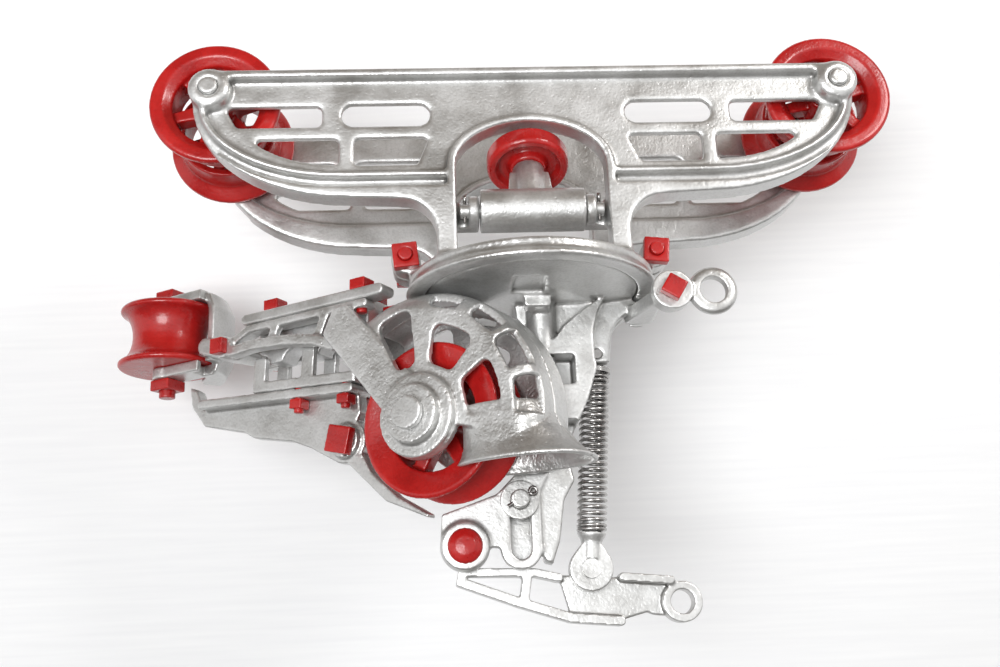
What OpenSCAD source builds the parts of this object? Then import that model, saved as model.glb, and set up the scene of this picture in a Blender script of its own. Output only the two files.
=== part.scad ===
// Hay trolley: a four-wheeled carriage that runs under a barn's track, with a turntable below it that
// carries a rope sheave in a pierced hood, a rope grip and a trip lever with its return spring.
// Sizes are in millimetres. X runs along the track, Z is up, and the running surface is at z = 0.
// Heights inside the modules are measured from the line of the wheel axles.

/* [Track wheels] */
// Radius of the wheel tread
tread_r = 46; // [40:1:50]
// Radius of the wheel flange
flange_r = 57; // [54:1:62]
// Width of a wheel along its axle
wheel_w = 38; // [32:1:40]
// Gap between the inner faces of front and rear wheels
track_gap = 14.5; // [12:0.5:18]
// Distance between the axles along the track
wheelbase = 544; // [520:2:580]
// Radius of a wheel axle
axle_r = 8; // [6:0.5:10]
// Spokes in a wheel
wheel_spokes = 6; // [5:1:8]

/* [Side frames] */
// Thickness of the pierced web
web_t = 7; // [5:0.5:9]
// Depth of the bottom rail across the track
rail_depth = 23; // [20:1:26]
// Height of the top edge above the axles
top_rise = 17; // [15:1:20]
// Drop of the bottom rail below the axles, at its middle
rail_drop = 105; // [102:1:108]
// Half width of the arch
arch_half = 64; // [62:1:66]
// Radius of an axle boss
boss_r = 18; // [15:1:20]

/* [Turntable] */
// Outer radius of the turntable ring
ring_r = 110; // [108:0.5:111]
// Drop of the ring's lower face below the axles
ring_drop = 173; // [172:0.5:174]
// Height of the ring
ring_h = 17; // [16:0.5:18]
// Wall of the ring
ring_wall = 9; // [8:0.5:10]
// Width of the lip that the disc rests on
lip_w = 8; // [6:0.5:10]
// Radius of the bolts that clamp the ring's halves
ring_bolt_r = 6; // [5:0.5:7]

/* [Stop catch] */
// Length of the hinge barrel
barrel_l = 88; // [80:1:90]
// Radius of the hinge barrel
barrel_r = 18.5; // [16:0.5:20]
// Radius of the catch roller
catch_roller_r = 36; // [30:1:38]
// Height of the catch roller
catch_roller_h = 18; // [14:1:20]
// Lean of the catch roller's stud
catch_lean = 18; // [12:1:22]

/* [Rope housing] */
// Angle between the housing and the track
housing_yaw = 32; // [28:1:32]
// Radius of the rope sheave
sheave_r = 66; // [60:1:67]
// Width of the rope sheave
sheave_w = 48; // [42:1:48]
// Radius of the sheave's pin
sheave_pin_r = 10; // [8:0.5:12]
// Outer radius of the hood
hood_r = 110.5; // [109:0.5:111]
// Wall of the hood
hood_wall = 6; // [5:0.5:7]
// Half depth of the hood over its side plates
hood_half = 36; // [35:0.5:37]
// Radius of the hinge knuckles
knuckle_r = 11; // [10:0.5:11]
// Flange radius of the guide roller
guide_r = 49; // [44:1:50]
// Height of the guide roller
guide_h = 62; // [54:1:63]

/* [Rope grip] */
// Width of the rope channel in the lower jaw
channel_w = 26; // [24:1:28]
// Drop of the rope channel's floor below the axles
channel_drop = 226; // [224:1:228]
// Rope space between the jaws when they are open
jaw_gap = 24; // [20:1:26]

/* [Trip gear] */
// Radius of the trip lever's pivot pin
pivot_r = 9; // [7:0.5:10]
// Radius of the hole in the trip lever's eye
trip_eye_r = 10; // [8:0.5:11]
// Radius of the hole in the becket eye
becket_eye_r = 11.5; // [9:0.5:12]
// Width of the slot for the link pin
slot_w = 16.5; // [14:0.5:18]
// Mean radius of the return spring's coils
coil_r = 11.5; // [10:0.5:12]
// Diameter of the spring's wire
wire_d = 3; // [2.4:0.2:3.4]
// Turns of the return spring
coil_turns = 26; // [20:1:28]

/* [Hidden] */
$fn = 48;
// Radial running clearance of a pin in its hole
run = 0.06;
// Clearance between faces that slide or are bolted side by side
face_gap = 0.3;
axle_x = wheelbase / 2;
wheel_in = track_gap / 2;
collar_w = 4.5;
collar_t = 3.5;
wheel_out = wheel_in + wheel_w;
boss_in = wheel_out + 1;
// Side frames, given for the front one
web_y = boss_in + 7;
rail_y = boss_in;
rail_out = rail_y + rail_depth;
boss_out = rail_out + 2;
rail_sweep = [136, rail_drop - 8];
panel_sweep = [116, 67];
panel_top = 10;
leg_out = 81;
bead_w = 5;
groove_w = 9;
groove_d = 9;
leg_fillet = 30;
front_slot_drop = 70;
rear_slot_drop = 60;
arch_rise = 40;
arch_spring = 75;
// Turntable
ring_top = ring_h - ring_drop;
lip_t = 5;
plate_r = 62;
top_t = 5.5;
lip_r = ring_r - ring_wall - lip_w;
disc_r = ring_r - ring_wall - 1;
disc_z = lip_t + face_gap - ring_drop;
disc_t = 5.5;
body_top = 2 - ring_drop;
under_ring = -ring_drop - 1.3;
ear_x = ring_r - 1.4;
ear_z = ring_top + 16;
ear_half = 20;
// Stop catch
catch_y = -rail_out + 14;
catch_z = -113;
catch_ear_w = 9;
catch_stand = 52.4;
catch_reach = 6;
catch_pin_r = 6;
stud_r = 7;
// Rope housing, in its own plan: x along the rope, y across it
housing_off = 52.75;
sheave_x = -94;
sheave_z = -283;
hood_edge = 11.5;
hood_crown = -174.5;
hood_x = hood_edge - hood_r;
hood_z = hood_crown - hood_r;
hub_r = 35;
hub_out = 57;
// Bell mouth, as outlines at falling heights: [left, right, half depth, height]
mouth_rings = [[-70, 8, 35.3, -280], [-68, 16, 36.6, -300], [-69, 27, 37.6, -314],
               [-72, 37, 39.5, -322.5], [-74, 42, 41, -325], [-74, 42, 41, -328]];
mouth_wall = 4.5;
hinge_x = 8;
hinge_y = 3.25;
hinge_pin_r = 5;
hinge_along = hinge_x * cos(housing_yaw) - (hinge_y + housing_off) * sin(housing_yaw);
hinge_across = hinge_x * sin(housing_yaw) + (hinge_y + housing_off) * cos(housing_yaw);
knuckle_spans = [[-251, -227], [-304, -284]];
bar_left = -296;
bar_right = -134;
rear_bar_right = -165;
bar_z = -166.5;
bar_t = 10.5;
bar_w = 19;
bar_y = 21;
flange_t = 8;
flange_right = -152;
flange_in = 14;
front_bar_t = 10;
jaw_bolts_at = [[-262, -bar_y], [-163, -bar_y], [-262, bar_y], [-178, bar_y]];
jaw_bolt_r = 5;
shoe_left = -290;
shoe_l = 126;
housing_bolt_r = 5;
housing_bolts_at = [[-152, -172.5], [-316, -184]];
// Guide roller
guide_x = -419;
guide_z = -151;
guide_waist = 36;
guide_bolt_r = 8;
yoke_t = 11;
yoke_w = 26;
yoke_angle = 75;
strap_r = guide_r + 11.5;
strap_t = 8;
// Notch in the yoke's foot that the tip of the grip rises into
notch_from = 41;
notch_gap = 1.5;
guide_top = guide_z + guide_h / 2;
guide_foot = guide_z - guide_h / 2;
// Rope grip
grip_x = -191;
grip_z = -286;
grip_hub_r = 20;
grip_tail = [[-182, -286], [-165, -316], [-138, -340], [-107, -358],
             [-108, -361], [-150, -343], [-195, -301]];
grip_bolt_r = 8;
grip_web = 12;
jaw_floor_t = 10;
jaw_posts = [[-293, 23], [-237, 29]];
jaw_post_w = 14;
jaw_wall = 6;
lower_jaw_bolts_x = [-241, -188];
lower_bolt_r = 4.5;
lower_bolt_y = 13.2;
grip_top = -channel_drop - jaw_floor_t - face_gap;
grip_flange_t = 9;
grip_tilt = 3.5;
// Trip gear
pivot_x = -64;
pivot_z = -384;
plate_y = 13.25;
plate_t = 10;
link_set = 6;
cheek_y = [-7.75, 39.25];
fin_t = 11;
slot_x = -17;
plate_edge = 17;
slot_top = -339;
slot_foot = -396;
link_x = slot_x;
link_pin_r = 7.8;
link_z = slot_top - slot_w / 2;
lever_y = plate_y + plate_t + 2;
lever_d = 20;
web_front = lever_y + lever_d / 2;
anchor = [56.2, -222];
spring_foot = [41, -405];
spring_y = 25.25;
spring_lean = atan2(anchor[0] - spring_foot[0], anchor[1] - spring_foot[1]);
spring_len = norm(anchor - spring_foot);
seat_top = 14;
seat_foot = spring_len - 30;
becket = [113.6, -45, -186.5];
becket_bolt_r = 7;
eye_off = [34.4, -0.8];

// Colours of the two paints and of bare steel
silver = [0.72, 0.72, 0.73];
red = [0.75, 0.05, 0.06];
steel = [0.42, 0.40, 0.38];

// Points along an ellipse's arc
function arc(c, rx, rz, a0, a1, n = 12) =
    [for (i = [0:n]) let (a = a0 + (a1 - a0) * i / n) [c[0] + rx * cos(a), c[1] + rz * sin(a)]];
function mirrored(pts) = [for (i = [len(pts) - 1:-1:0]) [-pts[i][0], pts[i][1]]];

// Raises a piece that is drawn from the axle line, so that the track's running surface is at z = 0
module hung() {
    translate([0, 0, tread_r]) children();
}
// Places a piece drawn in the rope housing's own plan
module in_housing() {
    hung() translate([0, -housing_off, 0]) rotate([0, 0, -housing_yaw]) children();
}
// Extrudes an upright outline across the track, between two depths
module across(y0, y1) {
    translate([0, y1, 0]) rotate([90, 0, 0]) linear_extrude(y1 - y0) children();
}
module rod_y(x, z, y0, y1, r) {
    translate([x, y0, z]) rotate([-90, 0, 0]) cylinder(r = r, h = y1 - y0);
}
module rod_x(y, z, x0, x1, r) {
    translate([x0, y, z]) rotate([0, 90, 0]) cylinder(r = r, h = x1 - x0);
}
// Square head or nut across the track
module square_head(x, z, y0, y1, w, turn = 0) {
    translate([x, (y0 + y1) / 2, z]) rotate([0, turn, 0]) cube([w, y1 - y0, w], center = true);
}
// Straight bar with round ends, as an outline
module bar_2d(p, q, w) {
    path_2d([p, q], w);
}
// Bent bar with mitred corners and round ends, as an outline
function unit(v) = v / norm(v);
function left_of(d) = [-d[1], d[0]];
module path_2d(pts, w) {
    n = len(pts) - 1;
    ways = [for (i = [0:n - 1]) unit(pts[i + 1] - pts[i])];
    sides = [for (i = [0:n]) let (a = left_of(ways[max(i - 1, 0)]), b = left_of(ways[min(i, n - 1)]))
        (a + b) / (1 + a * b) * w / 2];
    start = atan2(ways[0][1], ways[0][0]);
    end = atan2(ways[n - 1][1], ways[n - 1][0]);
    polygon(concat(
        [for (i = [1:1:n - 1]) pts[i] + sides[i]],
        arc(pts[n], w / 2, w / 2, end + 90, end - 90),
        [for (i = [n - 1:-1:1]) pts[i] - sides[i]],
        arc(pts[0], w / 2, w / 2, start - 90, start - 270)
    ));
}
// Rectangle with round corners, as an outline
module rounded_2d(x0, x1, z0, z1, r) {
    translate([x0 + r, z0]) square([x1 - x0 - 2 * r, z1 - z0]);
    translate([x0, z0 + r]) square([x1 - x0, z1 - z0 - 2 * r]);
    for (x = [x0 + r, x1 - r], z = [z0 + r, z1 - r]) translate([x, z]) circle(r);
}
module sector_2d(c, r0, r1, a0, a1) {
    polygon(concat(arc(c, r1, r1, a0, a1), arc(c, r0, r0, a1, a0)));
}

// Side frames: pierced web, swept bottom rail, legs to half of the ring
module frame_outline_2d() {
    half = concat(
        [[-axle_x, top_rise]],
        arc([rail_sweep[0] - axle_x - 16, -6], rail_sweep[0], rail_sweep[1] , 180, 270),
        arc([-leg_out - leg_fillet, -rail_drop - leg_fillet], leg_fillet, leg_fillet, 90, 0, 8),
        [[-leg_out, ring_top - 2], [-arch_half, ring_top - 2]]
    );
    difference() {
        polygon(concat(half, mirrored(half)));
        arch_2d(0);
    }
}
module arch_2d(grow) {
    polygon(concat(
        [[-arch_half - grow, -ring_drop]],
        arc([0, -arch_spring], arch_half + grow, arch_rise + grow, 180, 0, 20),
        [[arch_half + grow, -ring_drop]]
    ));
}
module panel_2d(grow) {
    half = concat(
        [[-axle_x - 4 - grow, panel_top]],
        arc([panel_sweep[0] - axle_x - 4, -12], panel_sweep[0] + grow, panel_sweep[1] + grow, 180, 270)
    );
    difference() {
        polygon(concat(half, mirrored(half)));
        arch_2d(7);
    }
}
// Slots of one web; their lower row ends at a given drop
module slots_2d(foot) {
    for (side = [-1, 1]) scale([side, 1]) {
        intersection() {
            rounded_2d(-258, -177, -33, -14, 5);
            polygon([[-262, -10], [-246, -40], [-100, -40], [-100, -10]]);
        }
        rounded_2d(-160, -85, -33, -13, 9);
        intersection() {
            rounded_2d(-246, -163, -foot, -45, 4);
            polygon(concat([[-260, -40]], arc([-163, -20], 86, 49, 195, 270, 8), [[-150, -40]]));
        }
        intersection() {
            rounded_2d(-150, -86, -foot, -45, 4);
            polygon([[-152, -40], [-84, -40], [-97, -72], [-152, -72]]);
        }
    }
}
module ring_2d() {
    polygon([
        [lip_r, -ring_drop], [lip_r, lip_t - ring_drop], [ring_r - ring_wall, lip_t - ring_drop],
        [ring_r - ring_wall, ring_top - top_t], [plate_r, ring_top - top_t], [plate_r, ring_top],
        [ring_r - 5, ring_top], [ring_r - 3.4, ring_top - 1], [ring_r - 3, ring_top - 3],
        [ring_r - 4.2, ring_top - 5], [ring_r - 3.5, ring_top - 10], [ring_r - 1, ring_top - 12],
        [ring_r, ring_top - 14], [ring_r - 1, -ring_drop]
    ]);
}
module side_frame(slot_drop) {
    difference() {
        union() {
            across(-web_y - web_t, -web_y) difference() {
                frame_outline_2d();
                slots_2d(slot_drop);
            }
            across(-rail_out + groove_d, -rail_y) rail_2d(0);
            across(-rail_out, -rail_y - 2) rail_2d(bead_w + groove_w);
            across(-rail_out + 1, -rail_y - 2) intersection() {
                rail_2d(0);
                panel_2d(bead_w);
            }
            across(-rail_out, -web_y) rounded_2d(-axle_x, axle_x, panel_top, top_rise, 3);
            across(-web_y - web_t - 4, -web_y) difference() {
                arch_2d(6);
                arch_2d(0);
                translate([-200, -400]) square([400, 400 - rail_drop]);
            }
            for (side = [-1, 1]) {
                rod_y(side * axle_x, 0, -boss_out, -boss_in, boss_r);
                rod_y(side * axle_x, 0, -boss_out - 2, -boss_out, boss_r - 4);
                across(-ear_half, -face_gap / 2) {
                    translate([side * ear_x, ear_z]) circle(13);
                    translate([side * (ear_x - 8) - 5, ring_top - 3]) square([10, ear_z - ring_top + 3]);
                }
            }
            intersection() {
                rotate_extrude($fn = 96) ring_2d();
                translate([-200, -200, -300]) cube([400, 200 - face_gap / 2, 300]);
            }
        }
        for (side = [-1, 1]) {
            rod_y(side * axle_x, 0, -boss_out - 5, 0, axle_r + 0.02);
            rod_y(side * ear_x, ear_z, -ear_half - 1, 1, ring_bolt_r + run);
        }
    }
}
// Swept rail and legs, outside the panel's edge by a given distance
module rail_2d(grow) {
    difference() {
        frame_outline_2d();
        panel_2d(grow);
        translate([-axle_x * 2, -10]) square([axle_x * 4, 100]);
    }
}
module catch_ears() {
    for (side = [-1, 1]) {
        x0 = barrel_l / 2 + 1;
        mid = side * (x0 + catch_ear_w / 2);
        difference() {
            union() {
                rod_x(catch_y, catch_z, mid - catch_ear_w / 2, mid + catch_ear_w / 2, 13);
                translate([mid, catch_y + 9, catch_z]) cube([catch_ear_w, 18, 24], center = true);
                translate([side * (x0 + 13), catch_y + 14, catch_z]) cube([26, 12, 24], center = true);
            }
            rod_x(catch_y, catch_z, -100, 100, catch_pin_r + 0.02);
        }
    }
}
module front_side_frame() {
    color(silver) hung() union() {
        side_frame(front_slot_drop);
        catch_ears();
    }
}
module rear_side_frame() {
    color(silver) hung() mirror([0, 1, 0]) side_frame(rear_slot_drop);
}

// Track wheels: flanged rim, six tapered spokes and a hub
module track_wheel(side, front) {
    rim = tread_r - 8;
    hub = axle_r + 10;
    color(red) hung() mirror([0, front < 0 ? 0 : 1, 0]) translate([side * axle_x, -wheel_in, 0])
        rotate([90, 0, 0]) difference() {
            union() {
                rotate_extrude($fn = 96) polygon([
                    [rim, 2], [tread_r - 1, 0], [tread_r, wheel_w - 14], [flange_r - 4, wheel_w - 9],
                    [flange_r, wheel_w - 6], [flange_r, wheel_w - 2], [flange_r - 2, wheel_w],
                    [flange_r - 11, wheel_w], [rim, wheel_w - 6]
                ]);
                cylinder(r = hub, h = wheel_w);
                for (i = [0:wheel_spokes - 1]) rotate(i * 360 / wheel_spokes + 15)
                    translate([0, 0, wheel_w / 2 - 7]) linear_extrude(16)
                        polygon([[hub - 3, -6.5], [rim + 2, -4.5], [rim + 2, 4.5], [hub - 3, 6.5]]);
            }
            translate([0, 0, -1]) cylinder(r = axle_r + run, h = wheel_w + 2);
            translate([0, 0, -1]) cylinder(r = axle_r + collar_w + 0.5, h = collar_t + 1.8);
        }
}
module track_wheel_front_left() track_wheel(-1, -1);
module track_wheel_front_right() track_wheel(1, -1);
module track_wheel_rear_left() track_wheel(-1, 1);
module track_wheel_rear_right() track_wheel(1, 1);

// Stub axles, riveted in the bosses, with a collar sunk in each wheel's hub
module wheel_axles() {
    color(silver) hung() for (side = [-1, 1], face = [0, 1]) mirror([0, face, 0]) union() {
        rod_y(side * axle_x, 0, -boss_out - 4, -wheel_in - 1, axle_r);
        rod_y(side * axle_x, 0, -wheel_in - collar_t - 0.5, -wheel_in - 0.5, axle_r + collar_w);
    }
}
module ring_bolts() {
    color(red) hung() for (side = [-1, 1]) union() {
        rod_y(side * ear_x, ear_z, -ear_half - 13, ear_half + 1, ring_bolt_r);
        square_head(side * ear_x, ear_z, ear_half, ear_half + 9, 20);
    }
}
module ring_nuts() {
    color(red) hung() for (side = [-1, 1]) difference() {
        square_head(side * ear_x, ear_z, -ear_half - 10, -ear_half, 22, side * 6);
        rod_y(side * ear_x, ear_z, -100, 100, ring_bolt_r + run);
    }
}

// Stop catch: barrel with a tongue that carries a roller under the track
module in_catch() {
    hung() translate([0, catch_y, catch_z]) rotate([-catch_lean, 0, 0]) children();
}
module catch_hinge_pin() {
    end = barrel_l / 2 + catch_ear_w + 8;
    color(silver) hung() difference() {
        rod_x(catch_y, catch_z, -end, end, catch_pin_r);
        for (side = [-1, 1]) translate([side * (end - 4), catch_y, catch_z])
            cylinder(r = 1.6, h = 30, center = true);
    }
}
module catch_cotters() {
    end = barrel_l / 2 + catch_ear_w + 8;
    color(steel) hung() for (side = [-1, 1]) translate([side * (end - 4), catch_y, catch_z]) {
        cylinder(r = 1.5, h = 2 * catch_pin_r + 8, center = true);
        translate([0, 0, catch_pin_r + 5]) rotate([0, 90, 0])
            rotate_extrude($fn = 24) translate([3, 0]) circle(1.4, $fn = 16);
    }
}
module catch_bracket() {
    color(silver) in_catch() difference() {
        union() {
            rod_x(0, 0, -barrel_l / 2, barrel_l / 2, barrel_r);
            translate([0, catch_reach, 0]) cylinder(r = 14, h = catch_stand - face_gap);
            across(catch_reach - 8, catch_reach + 8) polygon([
                [-26, 8], [-19, 22], [-17, catch_stand - 9], [17, catch_stand - 9], [19, 22], [26, 8]
            ]);
            across(catch_reach - 14, catch_reach) translate([-3, 8]) square([6, catch_stand - 14]);
        }
        rod_x(0, 0, -100, 100, catch_pin_r + run);
        translate([0, catch_reach, barrel_r - 2]) cylinder(r = stud_r + 0.02, h = 100);
    }
}
module catch_roller() {
    color(red) in_catch() translate([0, catch_reach, catch_stand]) rotate_extrude($fn = 96) polygon([
        [stud_r + run, 0], [15, 0], [18, 7], [catch_roller_r - 11, 8], [catch_roller_r - 7, 0],
        [catch_roller_r - 2, 0], [catch_roller_r, 3], [catch_roller_r, catch_roller_h - 3],
        [catch_roller_r - 3, catch_roller_h], [stud_r + run, catch_roller_h]
    ]);
}
module catch_roller_stud() {
    top = catch_stand + catch_roller_h;
    color(silver) in_catch() translate([0, catch_reach, 0]) union() {
        translate([0, 0, barrel_r - 1]) cylinder(r = stud_r, h = top - barrel_r + 4);
        translate([0, 0, top + face_gap]) cylinder(r = stud_r + 5, h = 4);
    }
}

// Swivel body: turntable disc, cheek that carries the hinge, neck and slotted plate
cheek_foot = [[hinge_x - knuckle_r, -297], [4, -318], [20, -318]];
cheek_edge = [[30.8, -293], [43.4, -267], [53, -239], [52, -226], [52.5, -203], [56.5, -187]];
module fin_2d() {
    polygon(concat(
        [[68, -169], [57, -177.5], [47, -184], [35, -193], [26, -201], [18, -212],
         [hinge_x - knuckle_r, -216]],
        cheek_foot, cheek_edge, [[62, -177]]
    ));
}
module cheek_2d() {
    polygon(concat(
        [[-16, body_top], [-14, -190], [hinge_x - knuckle_r, -206]],
        cheek_foot, cheek_edge, [[62, -177], [66, body_top]]
    ));
}
module slot_plate_2d() {
    difference() {
        union() {
            polygon([[-84.5, -380], [-83, -357], [-62, -350], [-36, -341], [-20, -325], [8, -325],
                     [slot_x + plate_edge, -340], [slot_x + plate_edge, -387], [slot_x, -387],
                     [pivot_x, pivot_z]]);
            translate([pivot_x, pivot_z]) circle(21);
            translate([slot_x, -387]) circle(plate_edge + 0.5);
        }
        bar_2d([slot_x, slot_top - slot_w / 2], [slot_x, slot_foot + slot_w / 2], slot_w);
    }
}
module swivel_body() {
    color(silver) hung() difference() {
        union() {
            rotate_extrude($fn = 96) polygon([
                [0, disc_z + disc_t], [disc_r, disc_z + disc_t], [disc_r, disc_z], [lip_r - 1, disc_z],
                [lip_r - 1, body_top], [40, body_top - 6], [0, body_top - 6]
            ]);
            across(cheek_y[0], cheek_y[0] + fin_t) fin_2d();
            across(cheek_y[0] + fin_t - 1, cheek_y[1]) cheek_2d();
            across(-24, cheek_y[0] + 1) rounded_2d(-8, 15, -188, body_top, 3);
            across(cheek_y[0] + 17, cheek_y[1]) polygon(concat(
                [[30, under_ring], [30, -230], [67, -230]],
                arc([112, -212], 43, 35, 180, 90, 8),
                [[112, under_ring - 1], [97, under_ring]]
            ));
            across(plate_y, plate_y + plate_t) slot_plate_2d();
            across(plate_y + 2, cheek_y[1]) polygon([
                [-4, -300], [24, -300], [31, -331], [21, -348], [16, -381], [9, -400], [2, -398], [2, -330]
            ]);
            rod_y(pivot_x, pivot_z, plate_y - 5, plate_y, 20);
            translate([hinge_x, hinge_y, -316]) cylinder(r = knuckle_r + 1, h = 316 + body_top);
            translate([0, 0, becket[2] - 6]) linear_extrude(13)
                path_2d([[96, 20], [104, -6], [becket[0], becket[1] + 13]], 24);
            rod_y(becket[0], becket[2], becket[1], becket[1] + 14, 13);
        }
        translate([-19, -62, -190]) cube([28, 36, 17]);
        for (k = knuckle_spans) translate([hinge_x - 40, hinge_y - 30, k[0] - 1])
            cube([66, 42, k[1] - k[0] + 2]);
        translate([hinge_x, hinge_y, -330]) cylinder(r = hinge_pin_r + 0.02, h = 130);
        translate([36, spring_y - 4, -240]) cube([80, 8, 55]);
        along_spring() translate([0, 0, seat_top - 5.5]) cylinder(r = coil_r + 4, h = 50);
        rod_y(anchor[0], anchor[1], -30, 60, 4.02);
        rod_y(pivot_x, pivot_z, -30, 60, pivot_r + 0.02);
        rod_y(becket[0], becket[2], becket[1] - 20, becket[1] + 60, becket_bolt_r + 0.02);
    }
}
module becket_eye() {
    y0 = becket[1] - 12;
    eye = [becket[0] + eye_off[0], becket[2] + eye_off[1]];
    color(silver) hung() difference() {
        union() {
            rod_y(becket[0], becket[2], y0, becket[1] - face_gap, 17);
            across(y0 + 1, becket[1] - 1) bar_2d([becket[0], becket[2]], eye, 14);
            translate([eye[0], y0 + 6, eye[1]]) rotate([90, 0, 0])
                rotate_extrude($fn = 64) translate([becket_eye_r + 4.5, 0]) circle(4.8);
            rod_y(eye[0], eye[1], y0 + 1, becket[1] - 1, becket_eye_r + 4);
        }
        rod_y(becket[0], becket[2], y0 - 5, becket[1] + 5, becket_bolt_r + 0.02);
        rod_y(eye[0], eye[1], y0 - 5, becket[1] + 5, becket_eye_r);
    }
}
module becket_bolt() {
    color(red) hung() union() {
        rod_y(becket[0], becket[2], becket[1] - 14, becket[1] + 22, becket_bolt_r);
        square_head(becket[0], becket[2], becket[1] - 21, becket[1] - 12, 17, 32);
    }
}
module housing_hinge_pin() {
    color(steel) hung() translate([hinge_x, hinge_y, -320]) cylinder(r = hinge_pin_r, h = 110);
}
module trip_pivot_pin() {
    color(red) hung() union() {
        rod_y(pivot_x, pivot_z, plate_y - 8, lever_y + lever_d + 1, pivot_r);
        translate([pivot_x, plate_y - 5, pivot_z]) rotate([90, 0, 0])
            rotate_extrude() polygon([[0, 0], [15, 0], [13, 3], [8, 5.5], [0, 6.5]]);
        rod_y(pivot_x, pivot_z, lever_y + lever_d + face_gap, lever_y + lever_d + 6, pivot_r + 6);
    }
}
module spring_anchor_pin() {
    color(steel) hung() rod_y(anchor[0], anchor[1], cheek_y[0] + 17, cheek_y[1] + 1, 4);
}

// Rope housing: two halves of a pierced hood with hub, slanted arm, jaw bars and half of a bell mouth
module hood_profile_2d() {
    edge = hood_half - hood_wall;
    polygon(concat(
        [[hood_r - hood_wall, face_gap / 2], [hood_r, face_gap / 2]],
        arc([hood_r - 16, hood_half - 16], 16, 16, 0, 90, 6),
        [[30, hood_half], [30, edge]],
        arc([hood_r - 16, hood_half - 16], 10, 10, 90, 0, 6)
    ));
}
// Solid through rounded outlines at falling heights, drawn in by a wall
mouth_steps = 40;
function bulge(v) = sign(v) * pow(abs(v), 0.8);
function mouth_ring(m, wall) = [for (i = [0:mouth_steps - 1]) let (a = 360 * i / mouth_steps)
    [(m[0] + m[1]) / 2 + ((m[1] - m[0]) / 2 - wall) * bulge(cos(a)), (m[2] - wall) * bulge(sin(a)), m[3]]];
module mouth_loft(wall, spare) {
    n = len(mouth_rings) - 1;
    rings = [for (i = [0:n]) let (m = mouth_rings[i], lift = i == 0 ? spare : i == n ? -spare : 0)
        mouth_ring([m[0], m[1], m[2], m[3] + lift], wall)];
    last = n * mouth_steps;
    polyhedron([for (r = rings, p = r) p], concat(
        [for (i = [0:n - 1], k = [0:mouth_steps - 1]) let (a = i * mouth_steps, m = (k + 1) % mouth_steps)
            each [[a + k, a + m, a + mouth_steps + k], [a + m, a + mouth_steps + m, a + mouth_steps + k]]],
        [for (k = [1:mouth_steps - 2]) [0, k + 1, k]],
        [for (k = [1:mouth_steps - 2]) [last, last + k, last + k + 1]]
    ));
}
module mouth() {
    difference() {
        mouth_loft(0, 0);
        mouth_loft(mouth_wall, 1);
    }
}
module housing_half() {
    c = [hood_x, hood_z];
    s = [sheave_x, sheave_z];
    difference() {
        union() {
            intersection() {
                translate([hood_x, 0, hood_z]) rotate([90, 0, 0])
                    rotate_extrude($fn = 96) hood_profile_2d();
                across(-60, 0) sector_2d(c, 0, 200, -14, 122);
            }
            across(-hood_half, hood_wall - hood_half) circle_at(s, hub_r + 1);
            rod_y(sheave_x, sheave_z, -hood_half - 7, hood_wall - hood_half, hub_r);
            rod_y(sheave_x, sheave_z, -hub_out + 6, -hood_half, hub_r - 10.5);
            across(-hood_half - 3, hood_wall - hood_half) polygon([
                [sheave_x - 22, sheave_z - 7], [-193, -196], [-181, -172.5], [-168, -172.5],
                [sheave_x + 8, sheave_z + 21]
            ]);
            across(-hood_half + 2, -hood_half + 14)
                path_2d([[-186, -205], [-208, -196], [-240, -190.5], [-280, -188], [-305, -190], [-320, -185]],
                        front_bar_t);
            across(-hood_half + 6, -flange_in) {
                rounded_2d(bar_left + 3, flange_right, bar_z - flange_t, bar_z - face_gap, 3);
                bar_2d([-318, -184], [bar_left + 6, bar_z - 5], 8);
            }
            for (x = [-262, -205]) across(-hood_half + 6, -hood_half + 13)
                bar_2d([x, -189], [x + 8, bar_z - 5], 9);
            rod_y(housing_bolts_at[1][0], housing_bolts_at[1][1], -hood_half + 2, -hood_half + 14, 11);
        }
        rod_y(sheave_x, sheave_z, -100, 1, sheave_pin_r + 0.02);
        rod_y(housing_bolts_at[1][0], housing_bolts_at[1][1], -100, 1, housing_bolt_r + run);
    }
}
module circle_at(p, r) {
    translate(p) circle(r);
}
// Ring sector with round corners, as an outline
module window_2d(c, r0, r1, a0, a1, k) {
    near = asin(k / (r0 + k));
    far = asin(k / (r1 - k));
    polygon(concat(
        arc(c + (r1 - k) * [cos(a0 + far), sin(a0 + far)], k, k, a0 - 90, a0 + far, 4),
        arc(c, r1, r1, a0 + far + 2, a1 - far - 2, 5),
        arc(c + (r1 - k) * [cos(a1 - far), sin(a1 - far)], k, k, a1 - far, a1 + 90, 4),
        arc(c + (r0 + k) * [cos(a1 - near), sin(a1 - near)], k, k, a1 + 90, a1 - near + 180, 4),
        arc(c + (r0 + k) * [cos(a0 + near), sin(a0 + near)], k, k, a0 + near + 180, a0 + 270, 4)
    ));
}
// Windows through the hood: one row round the shoulder and one in the side plate, as
// [inner radius, outer radius, first angle, last angle, depth]
shoulder_windows = [[93, 107, 66, 83, -28], [91, 130, 40, 58, -25],
                    [87, 130, 17, 36, -21], [88, 130, -6, 12, -18]];
side_windows = [[44, 78, 47, 79], [44, 76, -7, 32], [44, 94, 95, 117]];
module hood_windows(first) {
    s = [sheave_x, sheave_z];
    for (w = shoulder_windows) if (w[3] > first) across(-60, w[4]) window_2d(s, w[0], w[1], w[2], w[3], 4);
    for (w = side_windows) if (w[3] > first) across(-60, 0) window_2d(s, w[0], w[1], w[2], w[3], 7);
}
module half_mouth() {
    difference() {
        intersection() {
            mouth();
            translate([-200, -100, -400]) cube([400, 100 - face_gap / 2, 300]);
        }
        rod_y(sheave_x, sheave_z, -sheave_w / 2 - 3, 1, sheave_r + 4);
    }
}
module housing_front() {
    color(silver) in_housing() union() {
        difference() {
            housing_half();
            hood_windows(-90);
            jaw_bolt_holes();
        }
        half_mouth();
    }
}
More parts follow.
